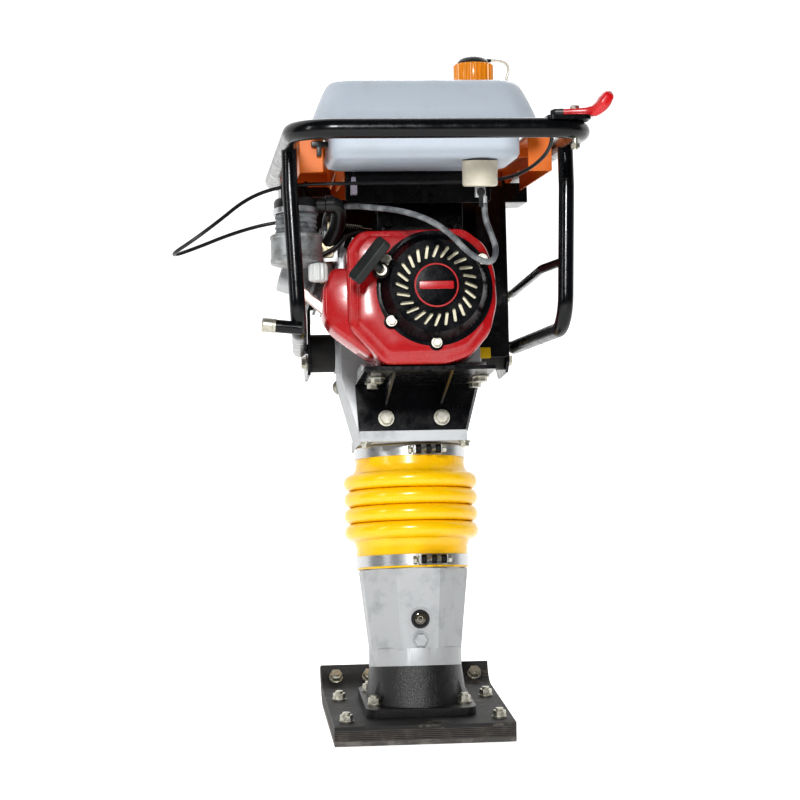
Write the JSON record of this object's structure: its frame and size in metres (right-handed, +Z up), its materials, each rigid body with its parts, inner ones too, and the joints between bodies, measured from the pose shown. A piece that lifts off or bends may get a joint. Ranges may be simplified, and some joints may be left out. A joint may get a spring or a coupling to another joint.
{
  "type": "jumping jack rammer",
  "caption": "Upright soil rammer: turned-up shoe, forward-leaning leg with ringed bellows, engine on a shelf, fuel tank, hood and looped handle with guards.",
  "frame": {"origin": "middle of the shoe's flat sole, on the ground under the foot", "axes": "+X to the operator's right, +Y forward the way the machine walks, +Z up"},
  "size_m": [0.6287, 0.8203, 1.0576],
  "materials": {
    "worn_steel": "worn dark steel",
    "laminate": "dark pressed laminate",
    "black_steel": "gloss black",
    "zinc": "zinc plated",
    "black_iron": "black painted casting",
    "cast_aluminium": "silver painted casting",
    "machined_steel": "ground",
    "bearing_steel": "polished",
    "yellow_bellows": "glossy yellow",
    "rubber_black": "matt",
    "orange_plastic": "glossy orange",
    "tank_plastic": "pale blue-grey",
    "red_paint": "glossy red",
    "red_plastic": "glossy red",
    "black_plastic": "satin black",
    "cream_plastic": "cream",
    "hose": "grey",
    "clear_hose": "clear"
  },
  "bodies": {
    "leg": {"sole_plate": "worn_steel", "shoe_core": "laminate", "shoe_top_plate": "black_steel", "shoe_fasteners": "zinc", "foot_casting": "black_iron", "lower_leg": "cast_aluminium", "oil_sight": "black_plastic", "drain_plug": "cast_aluminium", "spring_cylinder": "machined_steel", "cylinder_cap": "machined_steel", "lower_clamp": "zinc", "bellows": "yellow_bellows", "lower_spring": "machined_steel", "upper_spring": "machined_steel"},
    "piston_unit": {"piston_rod": "machined_steel", "piston": "machined_steel"},
    "upper": {"crankcase": "cast_aluminium", "crankcase_cover": "cast_aluminium", "guide_tube": "machined_steel", "shaft_bearings": "bearing_steel", "upper_clamp": "zinc", "clutch_housing": "cast_aluminium", "engine_bracket": "black_steel", "hex_bolts": "zinc", "rubber_mounts": "rubber_black", "cross_plate": "black_steel", "side_plate_left": "black_steel", "side_plate_right": "black_steel", "handle_loop": "black_steel", "guard_left": "black_steel", "guard_right": "black_steel", "hood": "orange_plastic", "fuel_tank": "tank_plastic", "cap_vent": "black_plastic", "vent_hose": "clear_hose", "fuel_bowl": "cream_plastic", "petcock_body": "zinc", "fuel_hose": "hose", "throttle_cable": "black_plastic", "engine_block": "cast_aluminium", "cylinder_head": "cast_aluminium", "rocker_cover": "cast_aluminium", "fan_shroud": "red_paint", "recoil_cover": "black_plastic", "carburettor": "cast_aluminium", "air_filter": "cast_aluminium", "muffler": "black_steel"},
    "crank": {"crank_gear": "machined_steel"},
    "con_rod": {"connecting_rod": "machined_steel"},
    "drum": {"clutch_drum": "machined_steel"},
    "engine_rotor": {"flywheel": "cast_aluminium", "engine_crankshaft": "machined_steel", "clutch_shoes": "black_iron"},
    "grip": {"starter_grip": "black_plastic"},
    "pulley": {"starter_pulley": "cream_plastic"},
    "throttle": {"throttle_lever": "red_plastic"},
    "governor": {"throttle_arm": "zinc"},
    "choke": {"choke_lever": "zinc"},
    "fuel_tap": {"petcock_lever": "zinc"},
    "filler_cap": {"tank_cap": "orange_plastic"}
  },
  "joints": [
    {"name": "ram_stroke", "type": "slide", "parent": "leg", "child": "upper", "axis": [0, 0.1908, 0.9816], "range_m": [-0.03, 0.03], "stiffness_N_per_m": 40000, "springref_m": 0.014, "deforming": ["bellows"]},
    {"name": "piston_slide", "type": "slide", "parent": "leg", "child": "piston_unit", "axis": [0, 0.1908, 0.9816], "range_m": [-0.02, 0.02], "stiffness_N_per_m": 50000, "springref_m": 0.0006, "deforming": ["lower_spring", "upper_spring"]},
    {"name": "crank_turn", "type": "hinge", "parent": "upper", "child": "crank", "pos_m": [0, 0.06383, 0.56781], "axis": [0, 0.9816, -0.1908], "continuous": true},
    {"name": "con_rod_turn", "type": "hinge", "parent": "crank", "child": "con_rod", "pos_m": [0, 0.08695, 0.53479], "axis": [0, 0.9816, -0.1908], "continuous": true},
    {"name": "clutch_drum_turn", "type": "hinge", "parent": "upper", "child": "drum", "pos_m": [0.012, 0.05042, 0.66129], "axis": [0, 0.9816, -0.1908], "continuous": true},
    {"name": "engine_shaft_turn", "type": "hinge", "parent": "upper", "child": "engine_rotor", "pos_m": [0.012, -0.08701, 0.688], "axis": [0, 0.9816, -0.1908], "continuous": true},
    {"name": "starter_pull", "type": "slide", "parent": "upper", "child": "grip", "axis": [-0.6231, -0.6254, 0.4697], "range_m": [0, 0.5]},
    {"name": "starter_pulley_turn", "type": "hinge", "parent": "upper", "child": "pulley", "pos_m": [0.012, -0.21953, 0.71376], "axis": [0, 0.9816, -0.1908], "range_deg": [0, 640]},
    {"name": "throttle_lever_turn", "type": "hinge", "parent": "upper", "child": "throttle", "pos_m": [0.193, -0.39342, 0.96046], "axis": [0, 0.0819, 0.9966], "range_deg": [0, 60]},
    {"name": "throttle_arm_turn", "type": "hinge", "parent": "upper", "child": "governor", "pos_m": [-0.14, -0.12808, 0.77544], "axis": [0, 0.9816, -0.1908], "range_deg": [-15, 0]},
    {"name": "choke_turn", "type": "hinge", "parent": "upper", "child": "choke", "pos_m": [-0.175, -0.11079, 0.77004], "axis": [1, 0, 0], "range_deg": [-40, 0]},
    {"name": "fuel_tap_turn", "type": "hinge", "parent": "upper", "child": "fuel_tap", "pos_m": [0.072, -0.29, 0.854], "axis": [0, 1, 0], "range_deg": [0, 90]},
    {"name": "tank_cap_turn", "type": "hinge", "parent": "upper", "child": "filler_cap", "pos_m": [0.076, -0.18314, 1.02846], "axis": [0, 0.0819, 0.9966], "range_deg": [0, 720]}
  ],
  "couplings": [
    {"joint": "con_rod_turn", "follows": "crank_turn", "ratio": -1},
    {"joint": "clutch_drum_turn", "follows": "crank_turn", "ratio": -5.4286},
    {"joint": "starter_pulley_turn", "follows": "starter_pull", "rad_per_m": 22.2},
    {"joint": "throttle_arm_turn", "follows": "throttle_lever_turn", "ratio": -0.25}
  ]
}
